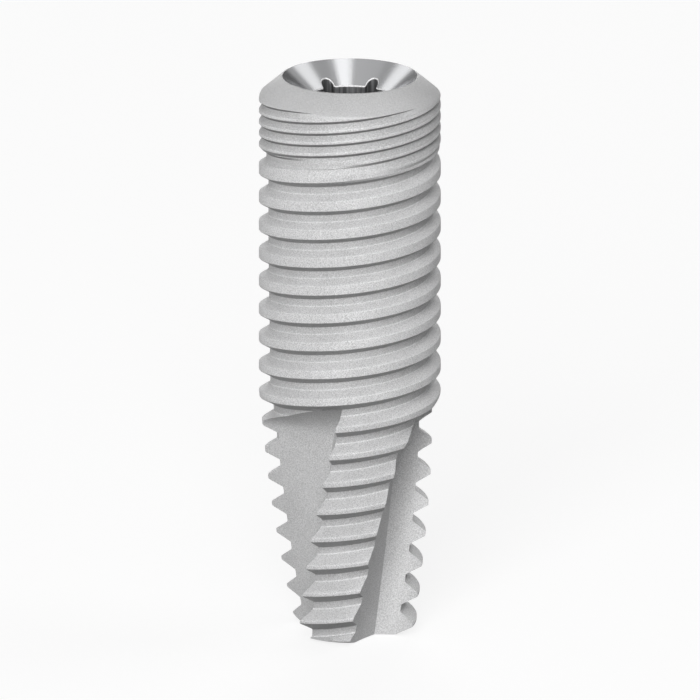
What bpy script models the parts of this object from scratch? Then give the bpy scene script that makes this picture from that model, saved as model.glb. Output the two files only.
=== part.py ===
"""Dental implant fixture: one turned titanium screw, standing on its flat apex.

A conical mouth and a six-lobe drive open at the top. The wall carries a five-start fine thread
that runs into a two-start coarse thread of the same lead, and three helical cutting flutes
open the tapered end. Lengths are millimetres until they are placed; depths are measured
down from the mouth plane; turns are measured from the front, positive to the right.
"""
import bpy
import bmesh
import math

MM = 0.001

# Turned body; the apex flat is apex_step inside the crests
body_length = 13.25
body_radius = 2.10
collar_bevel = 0.515
collar_height = 0.437
collar_round = 0.09
collar_round_steps = 3
crest_taper_start = 7.48
crest_taper_angle = 5.82
apex_step = 0.562
apex_round = 0.83
apex_round_step = 12.0

# Conical mouth, six-lobe drive and bore
rim_land = 0.025
mouth_half_angle = 50.3
drive_inner_radius = 0.963
drive_lobe_centre = 1.026
drive_lobe_radius = 0.14
drive_lobes = 6
drive_arc_steps = 6
drive_depth = 2.40
bore_radius = 0.80
bore_depth = 7.10
bore_entry_radius = 0.86
bore_point_angle = 59.0

# Coarse thread, two starts
coarse_pitch = 0.670
coarse_starts = 2
coarse_centre = 2.197
coarse_root_width = 0.157
flank_rise = 0.62
coarse_depth = 0.222
core_relief_start = 4.00
core_taper_start = 7.22
core_relief = 0.044
core_taper_angle = 6.53
coarse_fade_start = 1.459
coarse_fade_end = 1.968

# Fine thread on the same lead
fine_starts = 5
fine_centre = 0.588
fine_depth = 0.104
fine_half_width = 0.082
fine_fade_start = 1.575
fine_fade_end = 1.830
fine_entry = 0.12

# Cutting flutes
flute_count = 3
flute_twist = 8.42
flute_face_a = -2.9
flute_root = 59.6
flute_face_b = 68.2
flute_root_radius = 0.655
flute_root_taper = 5.26
flute_ramp_start = 8.475
flute_ramp_end = 7.50
flute_ramp_angle = 31.8
flute_end_height = 0.16
flute_end_run = 0.52
flute_stations = 17
flute_ramp_stations = 3
flute_reach = 1.25
flute_overrun = 0.75
flute_outer = 1.26

# Facets, how far cutters pass the surfaces they cut, and welding
segments = 40
margin = 0.02
end_margin = 0.25
weld_distance = 0.000001

rim_radius = body_radius - collar_bevel
mouth_radius = rim_radius - rim_land
core_radius = body_radius - coarse_depth
lead = coarse_pitch * coarse_starts
fine_pitch = lead / fine_starts
step = 360.0 / segments


def crest_radius(depth):
    """Radius of the thread crests at a depth."""
    taper = max(depth - crest_taper_start, 0.0) * math.tan(math.radians(crest_taper_angle))
    return body_radius - taper


def root_radius(depth):
    """Radius of the coarse thread's root: nearly straight first, then a cone."""
    relief = min(max((depth - core_relief_start) / (core_taper_start - core_relief_start), 0.0), 1.0)
    taper = max(depth - core_taper_start, 0.0) * math.tan(math.radians(core_taper_angle))
    return core_radius - core_relief * relief - taper


def at(radius, turn, depth):
    """Point at a radius, a turn from the front and a depth, in metres."""
    a = math.radians(turn)
    return (radius * math.sin(a) * MM, -radius * math.cos(a) * MM, (body_length - depth) * MM)


def clear_scene():
    """Removes what the scene holds."""
    for ob in list(bpy.data.objects):
        bpy.data.objects.remove(ob, do_unlink=True)
    for coll in list(bpy.data.collections):
        bpy.data.collections.remove(coll)


def collection(name):
    """New collection linked to the scene."""
    coll = bpy.data.collections.new(name)
    bpy.context.scene.collection.children.link(coll)
    return coll


def add_object(name, bm, coll):
    """Object from a bmesh, its normals facing out."""
    bmesh.ops.recalc_face_normals(bm, faces=bm.faces)
    mesh = bpy.data.meshes.new(name)
    bm.to_mesh(mesh)
    bm.free()
    ob = bpy.data.objects.new(name, mesh)
    coll.objects.link(ob)
    return ob


def revolve(name, profile, coll):
    """Profile of (radius, depth) pairs from axis to axis, turned round Z by a Screw modifier."""
    bm = bmesh.new()
    verts = [bm.verts.new((r * MM, 0.0, (body_length - d) * MM)) for r, d in profile]
    for a, b in zip(verts[:-1], verts[1:]):
        bm.edges.new((a, b))
    mesh = bpy.data.meshes.new(name)
    bm.to_mesh(mesh)
    bm.free()
    ob = bpy.data.objects.new(name, mesh)
    coll.objects.link(ob)
    turn = ob.modifiers.new("turn", 'SCREW')
    turn.axis = 'Z'
    turn.angle = 2.0 * math.pi
    turn.steps = segments
    turn.render_steps = segments
    turn.use_merge_vertices = True
    turn.merge_threshold = weld_distance
    turn.use_smooth_shade = False
    return ob


def sweep(bm, rings):
    """Closes rings of points into one capped solid of triangles."""
    rows = [[bm.verts.new(p) for p in ring] for ring in rings]
    count = len(rows[0])
    for a, b in zip(rows[:-1], rows[1:]):
        for i in range(count):
            j = (i + 1) % count
            bm.faces.new((a[i], a[j], b[j]))
            bm.faces.new((a[i], b[j], b[i]))
    bm.faces.new(list(reversed(rows[0])))
    bm.faces.new(rows[-1])


def groove_point(centre, side, at_root):
    """Radius and depth of one corner of the coarse groove; the groove fades out near the top."""
    fade = (centre - coarse_fade_start) / (coarse_fade_end - coarse_fade_start)
    fade = min(max(fade, 0.0), 1.0)
    depth = centre + side * coarse_root_width / 2.0
    crest = crest_radius(depth)
    deep = (crest - root_radius(depth)) * fade
    if at_root:
        return crest - deep, depth
    depth += side * flank_rise * deep
    return crest_radius(depth), depth


def threaded_rod(coll):
    """Thread profile swept through one turn by a Screw modifier, then laid on the core and crest cones."""
    root_half = coarse_root_width / 2.0
    wide_half = root_half + flank_rise * (body_radius - core_radius)
    first = coarse_centre - coarse_pitch * math.ceil((coarse_centre + lead) / coarse_pitch)
    count = math.ceil((body_length + 2.0 * lead - first) / coarse_pitch)
    bm = bmesh.new()
    verts = []
    for k in range(count):
        centre = first + k * coarse_pitch
        for r, d in ((body_radius, -wide_half), (core_radius, -root_half),
                     (core_radius, root_half), (body_radius, wide_half)):
            verts.append(bm.verts.new(at(r, 0.0, centre + d)))
    verts.insert(0, bm.verts.new(at(0.0, 0.0, first - wide_half)))
    verts.append(bm.verts.new(at(0.0, 0.0, first + (count - 1) * coarse_pitch + wide_half)))
    for a, b in zip(verts[:-1], verts[1:]):
        bm.edges.new((a, b))
    mesh = bpy.data.meshes.new("thread_profile")
    bm.to_mesh(mesh)
    bm.free()
    profile = bpy.data.objects.new("thread_profile", mesh)
    coll.objects.link(profile)
    turn = profile.modifiers.new("turn", 'SCREW')
    turn.axis = 'Z'
    turn.angle = 2.0 * math.pi
    turn.screw_offset = lead * MM
    turn.steps = segments
    turn.render_steps = segments
    turn.use_smooth_shade = False
    graph = bpy.context.evaluated_depsgraph_get()
    swept = bpy.data.meshes.new_from_object(profile.evaluated_get(graph))
    bpy.data.objects.remove(profile, do_unlink=True)
    bm = bmesh.new()
    bm.from_mesh(swept)
    bpy.data.meshes.remove(swept)
    for v in bm.verts:
        radius = math.hypot(v.co.x, v.co.y) / MM
        if radius < margin:
            continue
        depth = body_length - v.co.z / MM
        turned = math.degrees(math.atan2(v.co.x, -v.co.y))
        phase = (depth - coarse_centre + lead * turned / 360.0) / coarse_pitch
        side = 1.0 if phase > round(phase) else -1.0
        centre = depth - (phase - round(phase)) * coarse_pitch
        at_root = abs(phase - round(phase)) * coarse_pitch < (root_half + wide_half) / 2.0
        radius, depth = groove_point(centre, side, at_root)
        v.co = at(radius, turned, depth)
    bmesh.ops.remove_doubles(bm, verts=bm.verts, dist=weld_distance)
    bmesh.ops.holes_fill(bm, edges=[e for e in bm.edges if e.is_boundary])
    return add_object("implant_body", bm, coll)


def fine_ring(turn, centre):
    """Triangle of the fine groove at one turn."""
    fade = (fine_fade_end - centre) / (fine_fade_end - fine_fade_start)
    fade = min(fade, 1.0)
    outer = body_radius + margin
    root = body_radius - fine_depth * fade
    wide = (outer - root) * fine_half_width / fine_depth
    return [at(outer, turn, centre - wide), at(root, turn, centre), at(outer, turn, centre + wide)]


def helical_cutter(name, starts, first, pitch, top, bottom, ring, coll):
    """One groove cutter per start, its rings halfway between the body's own steps round the axis."""
    bm = bmesh.new()
    for s in range(starts):
        base = first + s * pitch
        i = math.floor((base - top) / lead * segments) + 0.5
        rings = []
        centre = base - lead * i / segments
        while centre < bottom:
            rings.append(ring(i * step, centre))
            i -= 1
            centre = base - lead * i / segments
        sweep(bm, rings)
    return add_object(name, bm, coll)


def polar(radius, angle):
    """Flat coordinates of a radius and an angle from the front."""
    a = math.radians(angle)
    return (radius * math.sin(a), radius * math.cos(a))


def flute_ring(depth, run, turn):
    """V section of a flute at a depth; the relief face and root are moved out along face B by run."""
    wall = crest_radius(depth)
    deep = flute_root_radius + (body_length - depth) * math.tan(math.radians(flute_root_taper))
    root = polar(deep, flute_root)
    face_a = polar(wall, flute_face_a)
    face_b = polar(wall, flute_face_b)
    span = math.hypot(face_b[0] - root[0], face_b[1] - root[1])
    along = ((face_b[0] - root[0]) / span, (face_b[1] - root[1]) / span)
    far_a = (root[0] + flute_reach * (face_a[0] - root[0]), root[1] + flute_reach * (face_a[1] - root[1]))
    reach_b = span + flute_overrun
    far_b = (root[0] + reach_b * along[0], root[1] + reach_b * along[1])
    moved_root = (root[0] + run * along[0], root[1] + run * along[1])
    moved_a = (far_a[0] + run * along[0], far_a[1] + run * along[1])
    outer = polar(body_radius + flute_outer, (flute_face_a + flute_face_b) / 2.0)
    twist = turn + flute_twist * (body_length - depth)
    ring = []
    for x, y in (moved_root, moved_a, outer, far_b):
        ring.append(at(math.hypot(x, y), math.degrees(math.atan2(x, y)) + twist, depth))
    return ring


def flute_cutter(coll):
    """The three flutes: a long helical V, a straight ramp near its top and a steep end."""
    low = body_length + end_margin
    ramp = flute_ramp_start - flute_ramp_end
    top_run = ramp * math.tan(math.radians(flute_ramp_angle))
    bm = bmesh.new()
    for k in range(flute_count):
        turn = k * 360.0 / flute_count
        rings = []
        for i in range(flute_stations):
            depth = low + (flute_ramp_start - low) * i / (flute_stations - 1)
            rings.append(flute_ring(depth, 0.0, turn))
        for i in range(1, flute_ramp_stations + 1):
            part = i / flute_ramp_stations
            rings.append(flute_ring(flute_ramp_start - ramp * part, top_run * part, turn))
        rings.append(flute_ring(flute_ramp_end - flute_end_height, top_run + flute_end_run, turn))
        sweep(bm, rings)
    return add_object("flute_cutter", bm, coll)


def drive_outline():
    """Six round-ended slots joined by arcs of the inner circle."""
    corner = math.asin(drive_lobe_radius / drive_inner_radius)
    sector = 2.0 * math.pi / drive_lobes
    points = []
    for k in range(drive_lobes):
        mid = k * sector
        points.append((drive_inner_radius, mid - corner))
        for i in range(drive_arc_steps + 1):
            a = math.pi * (i / drive_arc_steps - 0.5)
            x = drive_lobe_centre + drive_lobe_radius * math.cos(a)
            y = drive_lobe_radius * math.sin(a)
            points.append((math.hypot(x, y), mid + math.atan2(y, x)))
        for i in range(drive_arc_steps):
            a = mid + corner + (sector - 2.0 * corner) * i / drive_arc_steps
            points.append((drive_inner_radius, a))
    return [(r * math.cos(a), r * math.sin(a)) for r, a in points]


def drive_cutter(coll):
    """Lobed prism from above the mouth to the drive's floor."""
    bm = bmesh.new()
    outline = drive_outline()
    rings = []
    for depth in (-end_margin, drive_depth):
        rings.append([(x * MM, y * MM, (body_length - depth) * MM) for x, y in outline])
    sweep(bm, rings)
    return add_object("drive_cutter", bm, coll)


def blank(coll):
    """Turned blank that trims the rod: rim, rough collar bevel with a rounded edge, and rounded apex."""
    slope = math.atan2(collar_bevel, collar_height)
    back = collar_round * math.tan(slope / 2.0)
    profile = [(0.0, 0.0), (rim_radius, 0.0)]
    for i in range(collar_round_steps):
        a = slope * (1.0 - i / collar_round_steps)
        r = body_radius - collar_round * (1.0 - math.cos(a))
        profile.append((r, collar_height + back - collar_round * math.sin(a)))
    wide = body_radius + 3.0 * margin
    last = slope / (2.0 * collar_round_steps)
    profile.append((wide, collar_height + back + (wide - body_radius) / math.tan(last)))
    angle = 0.0
    apex_flat_radius = crest_radius(body_length) - apex_step
    radius = apex_flat_radius
    depth = body_length
    arc = []
    while radius < crest_radius(depth) + margin:
        arc.append((radius, depth))
        angle += apex_round_step
        radius = apex_flat_radius + apex_round * math.sin(math.radians(angle))
        depth = body_length - apex_round * (1.0 - math.cos(math.radians(angle)))
    arc.append((radius, depth))
    profile.append((wide, depth - 2.0 * (wide - radius)))
    profile += reversed(arc)
    profile.append((0.0, body_length))
    return revolve("blank", profile, coll)


def socket_cutter(coll):
    """Cone of the mouth, neck through the drive and the round bore with a drilled end."""
    widen = math.tan(math.radians(mouth_half_angle))
    entry = (mouth_radius - bore_entry_radius) / widen
    chamfer = bore_entry_radius - bore_radius
    point = bore_radius / math.tan(math.radians(bore_point_angle))
    profile = [(0.0, -margin), (mouth_radius + margin * widen, -margin), (bore_entry_radius, entry)]
    profile.append((bore_entry_radius, drive_depth + chamfer))
    profile.append((bore_radius, drive_depth + 2.0 * chamfer))
    profile.append((bore_radius, bore_depth))
    profile.append((0.0, bore_depth + point))
    return revolve("socket_cutter", profile, coll)


def cut(body, tool, operation='DIFFERENCE'):
    """Exact Boolean on the body; the tool stays as a hidden guide."""
    mod = body.modifiers.new(tool.name, 'BOOLEAN')
    mod.operation = operation
    mod.solver = 'EXACT'
    mod.object = tool
    weld = body.modifiers.new(tool.name + "_weld", 'WELD')
    weld.merge_threshold = weld_distance
    tool.hide_render = True
    tool.display_type = 'WIRE'


def titanium():
    """Grit-blasted titanium."""
    mat = bpy.data.materials.new("titanium_blasted")
    mat.use_nodes = True
    shader = mat.node_tree.nodes["Principled BSDF"]
    shader.inputs["Base Color"].default_value = (0.56, 0.55, 0.54, 1.0)
    shader.inputs["Metallic"].default_value = 1.0
    shader.inputs["Roughness"].default_value = 0.55
    return mat


def build():
    """Puts the implant together."""
    clear_scene()
    parts = collection("dental_implant")
    cutters = collection("cutters")
    body = threaded_rod(parts)
    body.data.materials.append(titanium())
    fine = helical_cutter("fine_thread_cutter", fine_starts, fine_centre, fine_pitch,
                          fine_entry, fine_fade_end + margin, fine_ring, cutters)
    cut(body, blank(cutters), 'INTERSECT')
    cut(body, fine)
    cut(body, flute_cutter(cutters))
    cut(body, drive_cutter(cutters))
    cut(body, socket_cutter(cutters))


build()
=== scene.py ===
"""Dental implant: blasted titanium threads and flutes, a polished socket and the photograph's light.

Lengths are millimetres until they are placed. Depths are measured down from the mouth plane and
turns from the front, positive to the right, as in the part's source.
"""
import bpy
import bmesh
import math
import numpy as np
from mathutils import Matrix


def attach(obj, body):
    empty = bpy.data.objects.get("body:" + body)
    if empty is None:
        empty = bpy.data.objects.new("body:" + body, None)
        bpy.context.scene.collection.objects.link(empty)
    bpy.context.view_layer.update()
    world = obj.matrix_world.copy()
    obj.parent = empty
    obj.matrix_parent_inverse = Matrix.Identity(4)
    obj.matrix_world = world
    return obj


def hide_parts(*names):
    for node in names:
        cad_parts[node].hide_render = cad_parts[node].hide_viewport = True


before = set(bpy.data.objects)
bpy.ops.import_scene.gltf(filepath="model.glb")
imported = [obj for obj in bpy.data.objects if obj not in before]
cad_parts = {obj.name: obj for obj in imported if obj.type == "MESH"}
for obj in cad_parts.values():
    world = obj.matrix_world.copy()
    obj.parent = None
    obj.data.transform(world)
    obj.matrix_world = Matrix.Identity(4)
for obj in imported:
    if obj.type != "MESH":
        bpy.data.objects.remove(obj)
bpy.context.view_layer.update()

MM = 0.001

# Turned body
body_length = 13.25
body_radius = 2.10
rim_radius = 1.585
rim_edge = 0.012
collar_height = 0.437
collar_round = 0.09
crest_taper_start = 7.48
crest_taper = math.tan(math.radians(5.82))
apex_flat_radius = 0.98
apex_round = 0.83
blank_room = 0.04
blank_clear_depth = 0.9

# Conical mouth, drive and bore
mouth_radius = 1.56
mouth_widen = math.tan(math.radians(50.3))
drive_inner_radius = 0.963
drive_lobe_centre = 1.026
drive_lobe_radius = 0.14
drive_lobes = 6
drive_depth = 2.40
drive_edge = 0.018
drive_reach = 1.25
drive_edge_lowest = 1.0
bore_entry_radius = 0.86
bore_radius = 0.80
bore_depth = 7.10
bore_point = 0.48
neck_start = drive_depth + 0.16
neck_end = drive_depth + 0.30
bore_thread_pitch = 0.35
bore_thread_depth = 0.10
bore_thread_start = drive_depth + 0.55

# Rise in radius, and turn away from the corner, along the fillet between inner circle and lobe
lobe_fillet = ((0.022, -0.003), (0.006, 0.012), (0.0, 0.035))

# Coarse thread: the root's half width and the flank's slope, under the crest above and on the
# flank below, and where the thread fades in
lead = 1.34
coarse_pitch = 0.67
coarse_centre = 0.857
under_half = 0.094
under_rise = 0.55
root_half = 0.0785
flank_rise = 0.62
edge_round = 0.008
corner_round = 0.016
coarse_fade_start = 1.459
coarse_fade_length = 0.509

# Root of the coarse thread: parallel, then eased in, then on a cone
root_top_radius = 1.878
root_ease = 0.044
root_ease_start = 4.0
root_taper_start = 7.22
root_taper = math.tan(math.radians(6.53))

# Fine thread: its deepest line lies above the groove's middle
fine_pitch = 0.268
fine_centre = 0.880
fine_depth = 0.085
fine_half = 0.0995
fine_low = -0.0295
fine_soft_squared = 0.00003
fine_start = 0.375
fine_start_length = 0.125
fine_fade_end = 1.90
fine_fade_length = 0.40

# Mesh lines along the threads: 40 for each lead, so 20 for each coarse groove, 8 for each fine
# one, and where the fine spacing changes into the coarse one
body_segments = 200
body_rows = 470
body_first_row = -66
lead_rows = 40
coarse_rows = 20
fine_rows = 8
fine_places = (-0.134, -0.104, -0.095, -0.042, fine_low, -0.016, 0.042, 0.0985, 0.134)
corner_span = 0.034
change_start = 1.90
change_length = 0.35
bore_segments = 96
bore_thread_rows = 110
bore_rows = 8
bore_places = (0.0, 0.022, 0.085, 0.150, 0.175)
bore_heights = (1.0, 1.0, 0.45, 0.0, 0.0)

# Flutes: the faces' outer and inner ends are shares of the way from the root to the wall
flute_twist = 8.42
flute_face_a = -2.9
flute_root = 59.6
flute_face_b = 68.2
flute_root_radius = 0.655
flute_root_taper = math.tan(math.radians(5.26))
flute_bow = 0.045
flute_hook = 0.09
flute_face_a_outer = 1.28
flute_face_a_inner = 0.08
flute_face_b_outer = 1.35
flute_outside = 1.6 * body_radius
flute_end_room = 1.3
flute_below = 0.2
flute_rings = 46

# Run-out at the top of the side flutes: a slow ramp with a steeper one after it
runout_start = 8.72
runout_end = 7.42
ramp_start = 8.50
ramp_slope = 0.65
ramp_foot = 0.22
kick_start = 7.87
kick_slope = 1.10
kick_foot = 0.05

# Run-out of the front flute: its root lifts in a curve and ends at a steep wall, while the
# cutting face turns back
front_start = 8.08
front_slope = 1.95
front_foot = 0.19
front_root_start = 8.70
front_root_rate = 0.44
front_wall = 7.492
front_wall_lean = 0.004
front_wall_height = 0.17
front_ease = 3.0
ease_start = 9.9
ease_length = 2.4
ease_power = 1.6

# Painted shade of each kind of face against the crests, painted highlight lines at the thread's corners,
# and how much of the grain the bevel has
painted_shade_flank = 1.01
painted_shade_fine_flank = 0.76
painted_shade_under = 0.46
painted_shade_root = 0.77
painted_shade_relief = 0.86
painted_shade_face = 0.85
painted_shade_bevel = 0.89
tone_rim = 0.70
painted_highlight_edge = 1.2
painted_glint_crest = 0.10
painted_glint_root = 0.19
bevel_grain = 0.5

# Studio, in metres and degrees
view_elevation = 15.0
view_distance = 0.3
view_width = 0.016152
view_right = 0.0000036
view_height = 0.0067040
light_distance = 0.5
light_height = 0.0066
card_distance = 0.35
floor_rings = ((0.0005, -0.00001), (0.6, -0.00001), (0.62, 0.004), (0.63, 0.03))
floor_segments = 96


def crest_radius(depth):
    """Radius of the thread crests."""
    return body_radius - np.maximum(depth - crest_taper_start, 0.0) * crest_taper


def root_radius(depth):
    """Radius of the coarse thread's root."""
    ease = np.clip((depth - root_ease_start) / (root_taper_start - root_ease_start), 0.0, 1.0)
    return root_top_radius - root_ease * ease - np.maximum(depth - root_taper_start, 0.0) * root_taper


def coarse_fade(depth):
    """Share of its full depth that a coarse groove has reached."""
    return np.clip((depth - coarse_fade_start) / coarse_fade_length, 0.0, 1.0)


def soft_step(y, top, e):
    """Clamps y between 0 and top with corners rounded over e."""
    return 0.5 * (np.sqrt(y * y + e * e) + y - np.sqrt((y - top) ** 2 + e * e) - (y - top))


def ramp(x, foot):
    """Straight rise from x = 0, its foot rounded by a parabola over foot to either side."""
    if x >= foot:
        return x
    return max(x + foot, 0.0) ** 2 / (4.0 * foot)


def mesh_object(name, verts, faces):
    """Object from points in metres, its normals facing out."""
    mesh = bpy.data.meshes.new(name)
    mesh.from_pydata([tuple(v) for v in verts], [], faces)
    bm = bmesh.new()
    bm.from_mesh(mesh)
    bmesh.ops.recalc_face_normals(bm, faces=bm.faces)
    bm.to_mesh(mesh)
    bm.free()
    ob = bpy.data.objects.new(name, mesh)
    bpy.context.scene.collection.objects.link(ob)
    return ob


def to_world(radius, turn, depth):
    """Array of points in metres from radii, turns in degrees and depths."""
    a = np.radians(turn)
    points = np.stack([radius * np.sin(a), -radius * np.cos(a), body_length - depth], axis=-1)
    return points * MM


def helical_rod(name, segments, fibres, rows, low_row, place):
    """Closed rod whose surface lines follow the thread; place gives radius and depth for turn and row.

    One turn later a row has become the row that is fibres earlier, so the last column is joined
    to the first one with that shift.
    """
    first = low_row - fibres
    count = rows + fibres
    turn = -180.0 + 360.0 * np.arange(segments)[:, None] / segments
    row = (first + np.arange(count))[None, :]
    radius, depth = place(turn + 0.0 * row, row + 0.0 * turn)
    points = to_world(radius, turn + 0.0 * row, depth)
    verts = [tuple(p) for p in points.reshape(-1, 3)]
    faces = []
    for i in range(segments):
        a = i * count + fibres
        b = ((i + 1) * count + fibres) if i + 1 < segments else 0
        for j in range(rows - 1):
            faces.append((a + j, b + j, b + j + 1, a + j + 1))
    top = len(verts)
    verts.append((0.0, 0.0, (body_length - depth[0, 0]) * MM))
    verts.append((0.0, 0.0, (body_length - depth[0, count - 1]) * MM))
    for i in range(segments):
        a = i * count + fibres
        b = ((i + 1) * count + fibres) if i + 1 < segments else 0
        faces.append((a, b, top))
        faces.append((a + rows - 1, b + rows - 1, top + 1))
    for j in range(fibres):
        faces.append((j, j + 1, top))
        faces.append((rows - 1 + j, rows + j, top + 1))
    return mesh_object(name, verts, faces)


def coarse_places(row, shift):
    """Depth of each mesh line on the coarse thread, lines gathered at its corners, and its groove's."""
    n = np.floor((row + 0.5 * coarse_rows) / coarse_rows)
    s = row - coarse_rows * n
    centre = coarse_centre + coarse_pitch * n + shift
    deep = (crest_radius(centre) - root_radius(centre)) * coarse_fade(centre)
    half = np.where(s < 0, under_half, root_half)
    wide = half + np.where(s < 0, under_rise, flank_rise) * deep
    near = np.minimum(corner_span, 0.45 * (wide - half))
    far = np.minimum(corner_span, 0.6 * (0.5 * coarse_pitch - wide))
    steps = [0.0 * near, half - 0.9 * near - 0.004, half - 0.25 * near, half + 0.35 * near,
             half + near, 0.5 * (half + wide), wide - 0.7 * near, wide - 0.2 * near,
             wide + 0.3 * far, wide + far, 0.5 * coarse_pitch + 0.0 * near]
    away = np.zeros_like(near)
    for k, step in enumerate(steps):
        away = np.where(np.abs(s) == k, step, away)
    return centre + np.sign(s) * away, centre


def fine_grooves(depth, groove, shift):
    """How deep the fine thread is cut at each point, from the groove there and its neighbours."""
    cut = np.zeros_like(depth)
    for beside in (-1.0, 0.0, 1.0):
        c = fine_centre + fine_pitch * (groove + beside) + shift
        fade = np.clip((fine_fade_end - c) / fine_fade_length, 0.0, 1.0)
        d = fine_depth * fade * np.clip((c - fine_start) / fine_start_length, 0.0, 1.0)
        rise = (depth - c + fine_half) / (fine_low + fine_half)
        fall = (c + fine_half - depth) / (fine_half - fine_low)
        y = d * np.minimum(rise, fall)
        cut = np.maximum(cut, 0.5 * (np.sqrt(y * y + fine_soft_squared * (d > 0.0)) + y))
    return cut


def coarse_grooves(depth, centre):
    """How deep the coarse thread is cut at each point, from the groove there and its neighbours."""
    cut = np.zeros_like(depth)
    for beside in (-1.0, 0.0, 1.0):
        c = centre + beside * coarse_pitch
        d = (crest_radius(c) - root_radius(c)) * coarse_fade(c)
        above = depth < c
        y = np.where(above, (depth - c + under_half) / under_rise, (c + root_half - depth) / flank_rise) + d
        e = np.minimum(np.where(above, edge_round, corner_round), 0.3 * d + 1e-6)
        cut = np.maximum(cut, soft_step(y, d, e) - soft_step(-1.0 + 0.0 * y, d, e))
    return cut


def body_place(turn, row):
    """Radius and depth on the thread: fine rows near the top slide over into coarse rows below."""
    shift = -lead * turn / 360.0
    coarse_at, centre = coarse_places(row, shift)
    m = np.floor((row + 0.5 * fine_rows) / fine_rows)
    fine_at = fine_centre + fine_pitch * m + shift
    fine_at = fine_at + np.interp(row - fine_rows * m, np.arange(-4, 5), fine_places)
    even = coarse_centre + lead * row / lead_rows + shift
    w = np.clip((even - change_start) / change_length, 0.0, 1.0)
    depth = fine_at * (1.0 - w) + coarse_at * w
    cut = np.maximum(coarse_grooves(depth, centre), fine_grooves(depth, m, shift))
    return crest_radius(depth) - cut, depth


def bore_place(turn, row):
    """Radius and depth on the screw bore's own thread."""
    shift = -bore_thread_pitch * turn / 360.0
    n = np.floor((row + 0.5 * bore_rows) / bore_rows)
    s = row - bore_rows * n
    x = np.abs(s)
    depth = bore_thread_start + bore_thread_pitch * n + shift
    depth = depth + np.sign(s) * np.interp(x, np.arange(5), bore_places)
    radius = bore_radius + bore_thread_depth * np.interp(x, np.arange(5), bore_heights)
    return radius, depth


def lathe(name, profile, segments):
    """Solid of revolution from (radius, depth) pairs that start and end on the axis."""
    turn = 360.0 * np.arange(segments) / segments
    verts = []
    for r, d in profile[1:-1]:
        verts.extend(tuple(p) for p in to_world(np.full(segments, r), turn, np.full(segments, d)))
    faces = []
    count = len(profile) - 2
    for k in range(count - 1):
        for i in range(segments):
            j = (i + 1) % segments
            a = k * segments
            b = a + segments
            faces.append((a + i, a + j, b + j, b + i))
    verts.append((0.0, 0.0, (body_length - profile[0][1]) * MM))
    verts.append((0.0, 0.0, (body_length - profile[-1][1]) * MM))
    top = len(verts) - 2
    for i in range(segments):
        j = (i + 1) % segments
        faces.append((j, i, top))
        faces.append(((count - 1) * segments + i, (count - 1) * segments + j, top + 1))
    return mesh_object(name, verts, faces)


def loft(name, groups):
    """Closed solids lofted through rings of points."""
    verts = []
    faces = []
    for rings in groups:
        start = len(verts)
        n = len(rings[0])
        for ring in rings:
            verts.extend(ring)
        for k in range(len(rings) - 1):
            for i in range(n):
                j = (i + 1) % n
                a = start + k * n
                b = a + n
                faces.append((a + i, a + j, b + j))
                faces.append((a + i, b + j, b + i))
        faces.append(tuple(start + i for i in range(n)))
        faces.append(tuple(start + (len(rings) - 1) * n + i for i in range(n)))
    return mesh_object(name, verts, faces)


def blank():
    """Turned blank: rim with a broken edge, collar bevel, rounded shoulder and rounded apex.

    Between shoulder and apex it stays clear of the crests, so that only its ends trim the thread.
    """
    slope = math.atan2(body_radius - rim_radius, collar_height)
    back = collar_round * math.tan(slope / 2.0)
    profile = [(0.0, 0.0), (rim_radius - rim_edge, 0.0)]
    profile.append((rim_radius - 0.35 * rim_edge, 0.25 * rim_edge))
    profile.append((rim_radius + rim_edge * math.sin(slope), rim_edge * math.cos(slope)))
    for i in range(9):
        a = slope * (1.0 - i / 8.6)
        r = body_radius - collar_round * (1.0 - math.cos(a))
        profile.append((r, collar_height + back - collar_round * math.sin(a)))
    wide = body_radius + blank_room
    profile.append((wide, collar_height + back + blank_clear_depth))
    arc = []
    for i in range(1, 14):
        a = math.radians(5.0 * i)
        radius = apex_flat_radius + apex_round * math.sin(a)
        depth = body_length - apex_round * (1.0 - math.cos(a))
        arc.append((radius, depth))
        if radius > crest_radius(depth) + 0.02:
            break
    profile.append((wide, arc[-1][1] - 2.0 * (wide - arc[-1][0])))
    profile += reversed(arc)
    profile.append((apex_flat_radius, body_length))
    profile.append((0.0, body_length))
    return lathe("blank", profile, 200)


def socket():
    """Conical mouth and the neck that leads through the drive to the bore."""
    above = 0.05
    entry = (mouth_radius - bore_entry_radius) / mouth_widen
    profile = [(0.0, -above), (mouth_radius + above * mouth_widen, -above), (bore_entry_radius, entry)]
    profile.append((bore_entry_radius, neck_start))
    profile.append((bore_radius, neck_end))
    profile.append((bore_radius, bore_depth))
    profile.append((0.0, bore_depth + bore_point))
    return lathe("socket", profile, 160)


def drive_outline():
    """Lobed outline of the drive as an array of points around the axis."""
    corner = math.asin(drive_lobe_radius / drive_inner_radius)
    sector = 2.0 * math.pi / drive_lobes
    edge_turn = lobe_fillet[-1][1]
    outline = []
    for k in range(drive_lobes):
        mid = k * sector
        for rise, turn in reversed(lobe_fillet):
            outline.append((drive_inner_radius + rise, mid - corner - turn))
        for i in range(17):
            a = -math.pi / 2.0 + math.pi * i / 16.0
            x = drive_lobe_centre + drive_lobe_radius * math.cos(a)
            y = drive_lobe_radius * math.sin(a)
            outline.append((math.hypot(x, y), mid + math.atan2(y, x)))
        for rise, turn in lobe_fillet[:-1]:
            outline.append((drive_inner_radius + rise, mid + corner + turn))
        for i in range(9):
            a = mid + corner + edge_turn + (sector - 2.0 * corner - 2.0 * edge_turn) * i / 9.0
            outline.append((drive_inner_radius, a))
    return np.array([(r * math.cos(a), r * math.sin(a)) for r, a in outline])


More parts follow.
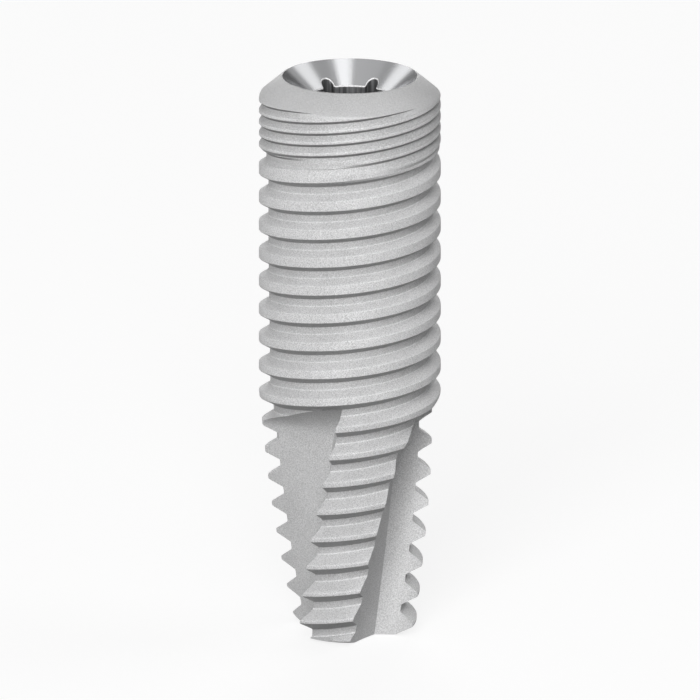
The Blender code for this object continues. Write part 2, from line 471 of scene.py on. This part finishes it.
def drive():
    """Lobed prism of the drive, widened where it meets the cone so that its edge is broken."""
    flat = drive_outline()
    ahead = np.roll(flat, -1, axis=0) - np.roll(flat, 1, axis=0)
    normal = np.stack([ahead[:, 1], -ahead[:, 0]], axis=1) / np.linalg.norm(ahead, axis=1)[:, None]
    wide = flat + drive_edge * normal
    cone = (mouth_radius - np.linalg.norm(flat, axis=1)) / mouth_widen
    cone_wide = (mouth_radius - np.linalg.norm(wide, axis=1)) / mouth_widen
    rings = []
    for points, depth in ((wide, np.full(len(wide), -0.2)), (wide, cone_wide - 0.003),
                          (flat, cone + drive_edge), (flat, np.full(len(flat), drive_depth))):
        rings.append([(p[0] * MM, p[1] * MM, (body_length - d) * MM) for p, d in zip(points, depth)])
    return loft("drive", [rings])


def polar(radius, angle):
    """Point in a flute's own section, its angle in degrees."""
    a = math.radians(angle)
    return np.array([radius * math.sin(a), radius * math.cos(a)])


def square_to(line, other):
    """Direction at right angles to a line, on the side away from the other line."""
    side = np.array([line[1], -line[0]])
    return -side if np.dot(side, other) > 0.0 else side


def flute_ring(depth, run, root_run, turn, ease):
    """Section of a flute: hollow relief face and hooked cutting face, sharp where they meet.

    The run-out shifts the section outwards along the cutting face, by run at the relief face's
    outer end and by root_run at the root; ease turns the cutting face back towards its upper end.
    """
    wall = float(crest_radius(depth))
    deep = flute_root_radius + (body_length - depth) * flute_root_taper
    back = ease * min(max((ease_start - depth) / ease_length, 0.0), 1.0) ** ease_power
    root = polar(deep, flute_root - back)
    face_a = polar(wall, flute_face_a)
    face_b = polar(wall, flute_face_b - back)
    length_a = np.linalg.norm(face_a - root)
    length_b = np.linalg.norm(face_b - root)
    along_a = (face_a - root) / length_a
    along_b = (face_b - root) / length_b
    inward = square_to(along_a, along_b)
    into_land = square_to(along_b, along_a)
    points = []
    for i in range(9):
        t = flute_face_a_outer - (flute_face_a_outer - flute_face_a_inner) * i / 8.0
        bow = 4.0 * flute_bow * t * (1.0 - t)
        shift = root_run + (run - root_run) * min(t, 1.0)
        points.append(root + along_a * t * length_a + inward * bow + along_b * shift)
    start = min(root_run / length_b, 1.0)
    for i in range(8):
        t = start + (flute_face_b_outer - start) * i / 7.0
        bow = 4.0 * flute_hook * t * (1.0 - t)
        points.append(root + along_b * t * length_b + into_land * bow)
    points.append(polar(flute_outside, 0.5 * (flute_face_a + flute_face_b)))
    twist = turn + flute_twist * (body_length - depth)
    ring = []
    for x, y in points:
        p = to_world(math.hypot(x, y), math.degrees(math.atan2(x, y)) + twist, depth)
        ring.append(tuple(p))
    return ring


def flutes():
    """The three helical flutes with their run-out under the coarse thread."""
    groups = []
    for k in range(3):
        front = k == 2
        turn = 120.0 * k
        ease = front_ease if front else 0.0
        start = front_root_start if front else runout_start
        low = body_length + flute_below
        rings = []
        for i in range(flute_rings):
            depth = low + (start - low) * i / flute_rings
            rings.append(flute_ring(depth, 0.0, 0.0, turn, ease))
        if front:
            for depth in np.linspace(front_root_start, front_wall, 17):
                run = front_slope * ramp(front_start - depth, front_foot)
                root_run = front_root_rate * (front_root_start - depth) ** 2
                rings.append(flute_ring(depth, run, root_run, turn, ease))
            over = front_wall - front_wall_lean
            rings.append(flute_ring(over, run, flute_end_room, turn, ease))
            top = front_wall - front_wall_height
            rings.append(flute_ring(top, flute_end_room, flute_end_room, turn, ease))
        else:
            for depth in np.linspace(runout_start, runout_end, 21):
                run = ramp_slope * ramp(ramp_start - depth, ramp_foot)
                run += kick_slope * ramp(kick_start - depth, kick_foot)
                rings.append(flute_ring(depth, run, run, turn, ease))
        groups.append(rings)
    return loft("flutes", groups)


def boolean(body, tool, operation):
    """Manifold Boolean on the body, which gives the tool back for its removal."""
    mod = body.modifiers.new(tool.name, 'BOOLEAN')
    mod.operation = operation
    mod.solver = 'MANIFOLD'
    mod.object = tool
    return tool


def sharpen_drive(mesh):
    """Marks the drive's broken edge as sharp, so that the mouth's cone keeps its own shading."""
    bm = bmesh.new()
    bm.from_mesh(mesh)
    for edge in bm.edges:
        middle = (edge.verts[0].co + edge.verts[1].co) / (2.0 * MM)
        near_axis = math.hypot(middle.x, middle.y) < drive_reach
        if near_axis and middle.z > body_length - drive_edge_lowest:
            if edge.is_manifold and edge.calc_face_angle() > math.radians(13.0):
                edge.smooth = False
    bm.to_mesh(mesh)
    bm.free()


def implant():
    """The implant's visible surface: one closed mesh of the same form as the solid."""
    body = helical_rod("implant_surface", body_segments, lead_rows, body_rows, body_first_row, body_place)
    thread = helical_rod("bore_thread", bore_segments, bore_rows, bore_thread_rows, 0, bore_place)
    tools = [boolean(body, blank(), 'INTERSECT'), boolean(body, flutes(), 'DIFFERENCE')]
    tools.append(boolean(body, socket(), 'DIFFERENCE'))
    tools.append(boolean(body, drive(), 'DIFFERENCE'))
    tools.append(boolean(body, thread, 'DIFFERENCE'))
    graph = bpy.context.evaluated_depsgraph_get()
    mesh = bpy.data.meshes.new_from_object(body.evaluated_get(graph))
    body.modifiers.clear()
    old = body.data
    body.data = mesh
    mesh.name = "implant_surface"
    bpy.data.meshes.remove(old)
    for tool in tools:
        bpy.data.objects.remove(tool, do_unlink=True)
    mesh.shade_smooth()
    mesh.set_sharp_from_angle(angle=math.radians(30.0))
    sharpen_drive(mesh)
    return body


def new_material(name):
    """Empty node material with its output."""
    mat = bpy.data.materials.new(name)
    mat.use_nodes = True
    mat.node_tree.nodes.clear()
    out = mat.node_tree.nodes.new("ShaderNodeOutputMaterial")
    return mat, mat.node_tree, out


def add_node(tree, kind, **values):
    """Node with input values set by name, an underscore standing for a space."""
    node = tree.nodes.new(kind)
    for key, value in values.items():
        node.inputs[key.replace("_", " ")].default_value = value
    return node


def add_math(tree, operation, second=None, third=None):
    """Math node with its second and third values where they are given."""
    node = tree.nodes.new("ShaderNodeMath")
    node.operation = operation
    if second is not None:
        node.inputs[1].default_value = second
    if third is not None:
        node.inputs[2].default_value = third
    return node


def add_ramp(tree, low, dark, high, light):
    """Colour ramp from the dark colour at low to the light colour at high."""
    node = tree.nodes.new("ShaderNodeValToRGB")
    node.color_ramp.elements[0].position = low
    node.color_ramp.elements[0].color = dark
    node.color_ramp.elements[1].position = high
    node.color_ramp.elements[1].color = light
    return node


def add_attribute(tree, name):
    """Node that reads a face attribute."""
    node = tree.nodes.new("ShaderNodeAttribute")
    node.attribute_name = name
    return node


def blasted_titanium():
    """Grit-blasted and etched titanium: nearly matt, with a fine crystalline grain.

    A face attribute of painted shade and highlights scales its colour; grain says how strong speckle and
    relief are.
    """
    mat, tree, out = new_material("blasted_metal")
    link = tree.links.new
    shader = add_node(tree, "ShaderNodeBsdfPrincipled", Metallic=0.12, Roughness=0.55)
    shader.inputs["Specular IOR Level"].default_value = 0.25
    coords = tree.nodes.new("ShaderNodeTexCoord")
    crystals = add_node(tree, "ShaderNodeTexNoise", Scale=46000.0, Detail=3.0, Roughness=0.6)
    link(coords.outputs["Object"], crystals.inputs["Vector"])
    pits = add_node(tree, "ShaderNodeTexVoronoi", Scale=17000.0)
    link(coords.outputs["Object"], pits.inputs["Vector"])
    clouds = add_node(tree, "ShaderNodeTexNoise", Scale=900.0, Detail=2.0)
    link(coords.outputs["Object"], clouds.inputs["Vector"])
    speckle = add_math(tree, 'MULTIPLY_ADD', 0.15)
    link(clouds.outputs["Fac"], speckle.inputs[0])
    link(crystals.outputs["Fac"], speckle.inputs[2])
    grain = add_attribute(tree, "grain")
    fade = add_node(tree, "ShaderNodeMix", A=0.575)
    link(grain.outputs["Fac"], fade.inputs["Factor"])
    link(speckle.outputs[0], fade.inputs["B"])
    colours = add_ramp(tree, 0.44, (0.54, 0.54, 0.543, 1.0), 0.71, (0.91, 0.91, 0.915, 1.0))
    link(fade.outputs["Result"], colours.inputs["Fac"])
    # painted shade and highlights from the face attribute scale the colour
    painted_shading = add_attribute(tree, "painted_shading")
    shade = tree.nodes.new("ShaderNodeVectorMath")
    shade.operation = 'SCALE'
    link(colours.outputs["Color"], shade.inputs[0])
    link(painted_shading.outputs["Fac"], shade.inputs["Scale"])
    link(shade.outputs["Vector"], shader.inputs["Base Color"])
    height = add_math(tree, 'MULTIPLY_ADD', 0.5)
    link(pits.outputs["Distance"], height.inputs[0])
    link(crystals.outputs["Fac"], height.inputs[2])
    relief = add_math(tree, 'MULTIPLY', 0.40)
    link(grain.outputs["Fac"], relief.inputs[0])
    bump = add_node(tree, "ShaderNodeBump", Distance=0.000012)
    link(relief.outputs[0], bump.inputs["Strength"])
    link(height.outputs[0], bump.inputs["Height"])
    link(bump.outputs["Normal"], shader.inputs["Normal"])
    link(shader.outputs["BSDF"], out.inputs["Surface"])
    return mat


def stretched_noise(tree, along_axis, scale):
    """Noise in the object's coordinates, stretched or pressed along the implant's axis."""
    coords = tree.nodes.new("ShaderNodeTexCoord")
    stretch = add_node(tree, "ShaderNodeMapping", Scale=(1.0, 1.0, along_axis))
    tree.links.new(coords.outputs["Object"], stretch.inputs["Vector"])
    noise = add_node(tree, "ShaderNodeTexNoise", Scale=scale, Detail=2.0)
    tree.links.new(stretch.outputs["Vector"], noise.inputs["Vector"])
    return noise


def polished_titanium():
    """Turned and polished titanium of the mouth's cone, with faint turning marks."""
    mat, tree, out = new_material("polished_metal")
    link = tree.links.new
    shader = add_node(tree, "ShaderNodeBsdfPrincipled", Metallic=1.0, Roughness=0.2)
    shader.inputs["Base Color"].default_value = (0.74, 0.745, 0.76, 1.0)
    marks = stretched_noise(tree, 60.0, 900.0)
    bump = add_node(tree, "ShaderNodeBump", Strength=0.12, Distance=0.000004)
    link(marks.outputs["Fac"], bump.inputs["Height"])
    link(bump.outputs["Normal"], shader.inputs["Normal"])
    link(shader.outputs["BSDF"], out.inputs["Surface"])
    return mat


def broached_titanium():
    """Duller broached and bored titanium of the drive and bore, streaked along the axis by marks and
    painted reflection stripes.
    """
    mat, tree, out = new_material("broached_metal")
    link = tree.links.new
    shader = add_node(tree, "ShaderNodeBsdfPrincipled", Metallic=0.85, Roughness=0.38)
    # axial streaks in the colour: partly broaching marks, partly painted reflection stripes
    marks_and_painted_streaks = stretched_noise(tree, 0.03, 14000.0)
    colours = add_ramp(tree, 0.40, (0.19, 0.19, 0.195, 1.0), 0.62, (0.42, 0.425, 0.435, 1.0))
    link(marks_and_painted_streaks.outputs["Fac"], colours.inputs["Fac"])
    link(colours.outputs["Color"], shader.inputs["Base Color"])
    bump = add_node(tree, "ShaderNodeBump", Strength=0.3, Distance=0.000006)
    link(marks_and_painted_streaks.outputs["Fac"], bump.inputs["Height"])
    link(bump.outputs["Normal"], shader.inputs["Normal"])
    link(shader.outputs["BSDF"], out.inputs["Surface"])
    return mat


def pale_floor():
    """Pale floor: nearly white where it is seen or mirrored, a matt grey for the light it gives back."""
    mat, tree, out = new_material("floor")
    link = tree.links.new
    matt = add_node(tree, "ShaderNodeBsdfDiffuse", Color=(0.25, 0.25, 0.25, 1.0))
    path = tree.nodes.new("ShaderNodeLightPath")
    seen = add_math(tree, 'MAXIMUM')
    link(path.outputs["Is Camera Ray"], seen.inputs[0])
    link(path.outputs["Is Glossy Ray"], seen.inputs[1])
    either = add_math(tree, 'MAXIMUM')
    link(seen.outputs[0], either.inputs[0])
    link(path.outputs["Is Transmission Ray"], either.inputs[1])
    scaled = add_math(tree, 'MULTIPLY', 0.81)
    link(either.outputs[0], scaled.inputs[0])
    glow = add_node(tree, "ShaderNodeEmission", Color=(1.0, 1.0, 1.0, 1.0))
    link(scaled.outputs[0], glow.inputs["Strength"])
    both = tree.nodes.new("ShaderNodeAddShader")
    link(matt.outputs["BSDF"], both.inputs[0])
    link(glow.outputs["Emission"], both.inputs[1])
    link(both.outputs["Shader"], out.inputs["Surface"])
    return mat


def stage():
    """Pale floor just under the implant, with a low rim that closes the horizon."""
    bm = bmesh.new()
    rings = []
    for radius, height in floor_rings:
        ring = []
        for i in range(floor_segments):
            a = 2.0 * math.pi * i / floor_segments
            ring.append(bm.verts.new((radius * math.cos(a), radius * math.sin(a), height)))
        rings.append(ring)
    bm.faces.new(rings[0])
    for low, high in zip(rings[:-1], rings[1:]):
        for i in range(floor_segments):
            j = (i + 1) % floor_segments
            bm.faces.new((low[i], low[j], high[j], high[i]))
    mesh = bpy.data.meshes.new("floor")
    bm.to_mesh(mesh)
    bm.free()
    floor = bpy.data.objects.new("floor", mesh)
    bpy.context.scene.collection.objects.link(floor)
    mesh.materials.append(pale_floor())


def around(azimuth, elevation, distance, height):
    """Point at a distance from a height on the axis, its azimuth measured from the front."""
    a = math.radians(azimuth)
    e = math.radians(elevation)
    return (distance * math.sin(a) * math.cos(e), -distance * math.cos(a) * math.cos(e),
            height + distance * math.sin(e))


def softbox(name, azimuth, elevation, size, power):
    """Rectangular area light that faces the implant's middle."""
    data = bpy.data.lights.new(name, 'AREA')
    data.shape = 'RECTANGLE'
    data.size = size[0]
    data.size_y = size[1]
    data.energy = power
    light = bpy.data.objects.new(name, data)
    bpy.context.scene.collection.objects.link(light)
    light.location = around(azimuth, elevation, light_distance, light_height)
    light.rotation_euler = (math.radians(90.0 - elevation), 0.0, math.radians(azimuth))
    light.visible_camera = False
    return light


def card(name, azimuth, elevation, size, strength):
    """Bright card or dark flag that faces the mouth and shows only in reflections."""
    mesh = bpy.data.meshes.new(name)
    w = 0.5 * size[0]
    h = 0.5 * size[1]
    mesh.from_pydata([(-w, -h, 0.0), (w, -h, 0.0), (w, h, 0.0), (-w, h, 0.0)], [], [(0, 1, 2, 3)])
    mat, tree, out = new_material(name)
    glow = add_node(tree, "ShaderNodeEmission", Strength=strength)
    tree.links.new(glow.outputs["Emission"], out.inputs["Surface"])
    mesh.materials.append(mat)
    sheet = bpy.data.objects.new(name, mesh)
    bpy.context.scene.collection.objects.link(sheet)
    sheet.location = around(azimuth, elevation, card_distance, body_length * MM)
    aim = Matrix.Rotation(math.radians(azimuth), 3, 'Z')
    aim = aim @ Matrix.Rotation(math.radians(90.0 - elevation), 3, 'X')
    sheet.rotation_euler = aim.to_euler()
    sheet.visible_camera = False
    sheet.visible_diffuse = False
    sheet.visible_shadow = False


def camera():
    """The photograph's view: no perspective, 15 degrees above the horizontal."""
    data = bpy.data.cameras.new("camera")
    data.type = 'ORTHO'
    data.ortho_scale = view_width
    data.clip_start = 0.001
    data.clip_end = 3.0
    view = bpy.data.objects.new("camera", data)
    bpy.context.scene.collection.objects.link(view)
    e = math.radians(view_elevation)
    view.location = (view_right, -view_distance * math.cos(e), view_height + view_distance * math.sin(e))
    view.rotation_euler = (math.radians(90.0 - view_elevation), 0.0, 0.0)
    bpy.context.scene.camera = view


def studio():
    """Dim world for the matt light, grey where polished metal sees it."""
    world = bpy.data.worlds.new("studio")
    world.use_nodes = True
    tree = world.node_tree
    shade = tree.nodes["Background"]
    shade.inputs["Color"].default_value = (1.0, 1.0, 1.0, 1.0)
    path = tree.nodes.new("ShaderNodeLightPath")
    level = add_math(tree, 'MULTIPLY_ADD', 0.35, 0.03)
    tree.links.new(path.outputs["Is Glossy Ray"], level.inputs[0])
    tree.links.new(level.outputs[0], shade.inputs["Strength"])
    bpy.context.scene.world = world


def face_values(mesh, name):
    """Three values of every face, such as its centre or normal, as columns of an array."""
    values = np.empty(len(mesh.polygons) * 3)
    mesh.polygons.foreach_get(name, values)
    return values.reshape(-1, 3)


def painted_thread_shading(depth, radius, upward):
    """Painted shade of the threads by height on the flank and by how far a face looks up or down."""
    recess = np.clip((crest_radius(depth) - radius) / 0.10, 0.0, 1.0)
    up = np.clip(upward / 0.7, 0.0, 1.0)
    down = np.clip(-upward / 0.7, 0.0, 1.0)
    fine = np.clip((2.1 - depth) / 0.6, 0.0, 1.0)
    level = (1.0 + (painted_shade_root - 1.0) * recess) * (1.0 + 0.06 * fine)
    slope = painted_shade_flank + (painted_shade_fine_flank - painted_shade_flank) * fine
    under = painted_shade_under * (1.0 - 0.25 * fine)
    painted_shading = level * (1.0 - up) * (1.0 - down) + slope * up * (1.0 - down) + under * down
    # painted highlight lines where a face turns between root or crest and flank
    corner = np.clip(1.0 - np.abs(upward - 0.62) / 0.17, 0.0, 1.0) * (1.0 - fine)
    return painted_shading + corner * (painted_glint_crest + (painted_glint_root - painted_glint_crest) * recess)


def paint(body):
    """Polished metal in the cone, broached in drive and bore, blasted elsewhere with painted shade and
    highlights.
    """
    mesh = body.data
    mesh.materials.clear()
    for material in (blasted_titanium(), polished_titanium(), broached_titanium()):
        mesh.materials.append(material)
    centres = face_values(mesh, "center") / MM
    normals = face_values(mesh, "normal")
    upward = normals[:, 2]
    radius = np.hypot(centres[:, 0], centres[:, 1])
    depth = body_length - centres[:, 2]
    safe = np.maximum(radius, 0.01)
    outward = (normals[:, 0] * centres[:, 0] + normals[:, 1] * centres[:, 1]) / safe
    across = (normals[:, 1] * centres[:, 0] - normals[:, 0] * centres[:, 1]) / safe

    # Which metal: the drive's broken edge, though inside, gets blasted metal so that it shows as bright
    reach = np.maximum(mouth_radius - depth * mouth_widen, 1.17) + 0.004
    inside = (radius < reach) & (depth < bore_depth + bore_point + 0.04)
    near_edge = (radius < drive_reach) & (depth < drive_edge_lowest)
    edge = inside & near_edge & (upward > 0.25) & (upward < 0.72)
    bored = inside & (upward < 0.35)
    index = np.where(edge, 0, inside.astype(np.int32) + bored.astype(np.int32))
    mesh.polygons.foreach_set("material_index", index.astype(np.int32))

    # Painted shade on threads, flutes darker towards their upper ends and bevel; the rim darker; a painted
    # highlight on the drive's edge
    painted_shading = painted_thread_shading(depth, radius, upward)
    flute = (depth > 7.3) & ((radius < root_radius(depth) - 0.03) | (np.abs(across) > 0.15))
    # painted shade: the flutes get darker towards their upper ends
    hollow = 1.0 - 0.26 * np.clip((8.3 - depth) / 0.8, 0.0, 1.0)
    painted_shading = np.where(flute, np.where(across < -0.5, painted_shade_face, painted_shade_relief) * hollow, painted_shading)
    # painted shade on the bevel, darker the more it faces up
    bevel = (depth < collar_height + 0.05) & (upward > 0.0) & (outward > 0.0)
    painted_shading = np.where(bevel, 1.0 + (painted_shade_bevel - 1.0) * np.clip(upward / 0.75, 0.0, 1.0), painted_shading)
    painted_shading = np.where(depth < 0.02, tone_rim, painted_shading)
    # painted highlight: the drive's broken edge lighter than its metal
    painted_shading = np.where(edge, painted_highlight_edge, painted_shading)
    grain = np.where(bevel, bevel_grain, 1.0)
    for name, values in (("painted_shading", painted_shading), ("grain", grain)):
        layer = mesh.attributes.new(name, 'FLOAT', 'FACE')
        layer.data.foreach_set("value", values.astype(np.float32))


def main():
    """Builds the implant's surface, its stage and its light."""
    body = implant()
    paint(body)
    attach(body, "root")
    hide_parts("implant_body")
    stage()
    camera()
    softbox("key", -8.0, 24.0, (0.25, 0.25), 2.0)
    softbox("top", 0.0, 62.0, (0.25, 0.25), 0.26)
    softbox("left", -108.0, 3.0, (0.25, 0.045), 0.36)
    right = softbox("right", 100.0, 56.0, (0.25, 0.15), 0.33)
    right.visible_glossy = False
    softbox("back", 180.0, 18.0, (0.25, 0.25), 0.95)
    card("card_top", 90.0, 84.0, (0.095, 0.10), 1.42)
    card("card_grey", -90.0, 70.5, (0.16, 0.15), 0.50)
    card("card_right", 126.0, 44.0, (0.11, 0.12), 1.08)
    card("card_left", -136.0, 34.0, (0.10, 0.16), 1.12)
    card("flag_right", 156.0, 12.0, (0.14, 0.13), 0.10)
    card("flag_left", -157.0, 12.0, (0.12, 0.12), 0.20)
    studio()
    bpy.context.scene.view_settings.view_transform = 'Standard'


main()
